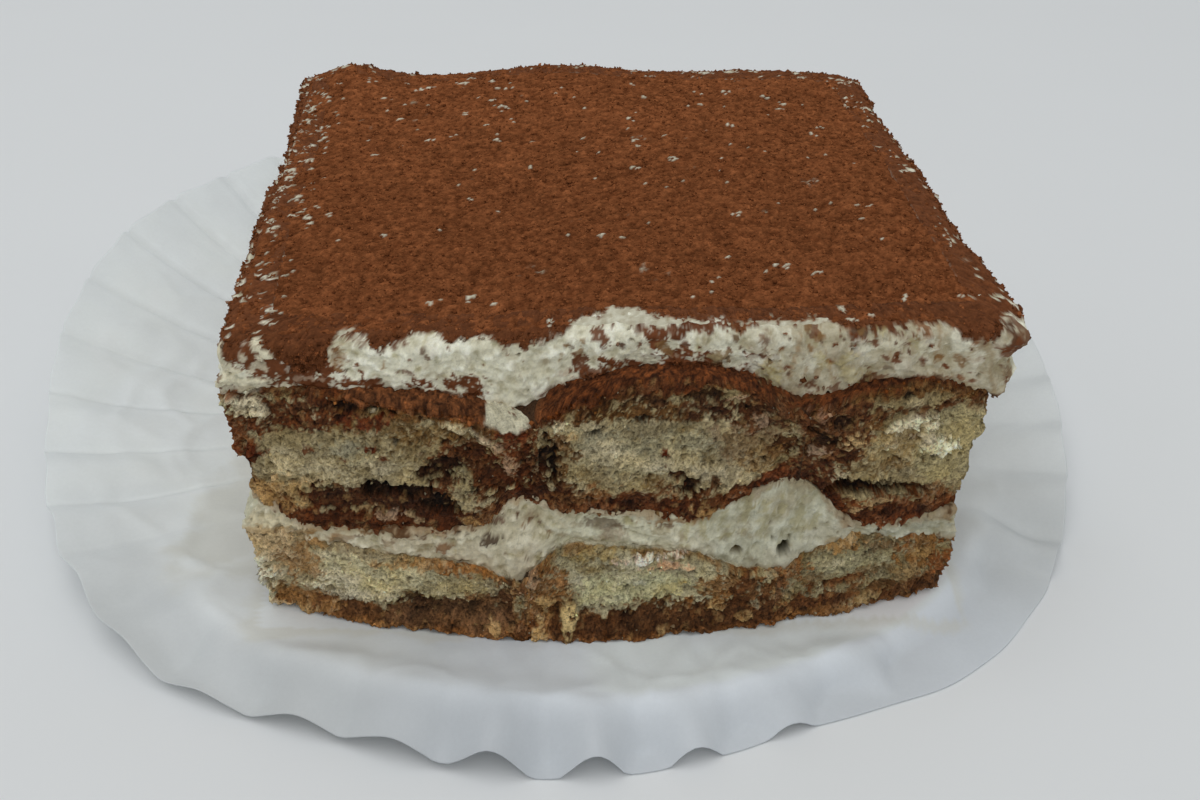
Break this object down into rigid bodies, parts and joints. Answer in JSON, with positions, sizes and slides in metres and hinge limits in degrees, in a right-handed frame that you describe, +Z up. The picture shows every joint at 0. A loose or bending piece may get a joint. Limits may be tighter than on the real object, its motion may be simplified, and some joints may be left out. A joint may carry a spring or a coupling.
{
  "type": "tiramisu portion",
  "caption": "Square-cut portion of layered ladyfinger and cream dessert, dusted with cocoa, sitting in a flattened white fluted paper baking case.",
  "frame": {"origin": "middle of the paper case's outline, on the surface that the case stands on", "axes": "+Z up; -Y towards the front cut face, across which the ends of the six ladyfingers show; +X to the right as seen from the front"},
  "size_m": [0.13, 0.13, 0.0374],
  "materials": {
    "paper": "white greaseproof paper, slightly see-through, satin",
    "sponge": "dry pale crumb with coffee-soaked brown zones, matte",
    "cream": "whipped mascarpone cream, soft satin",
    "cocoa": "sifted cocoa powder, matte"
  },
  "bodies": {
    "root": {"paper_case": "paper", "ladyfinger_lower_left": "sponge", "ladyfinger_lower_middle": "sponge", "ladyfinger_lower_right": "sponge", "cream_middle": "cream", "ladyfinger_upper_left": "sponge", "ladyfinger_upper_middle": "sponge", "ladyfinger_upper_right": "sponge", "cream_top": "cream"}
  },
  "joints": []
}
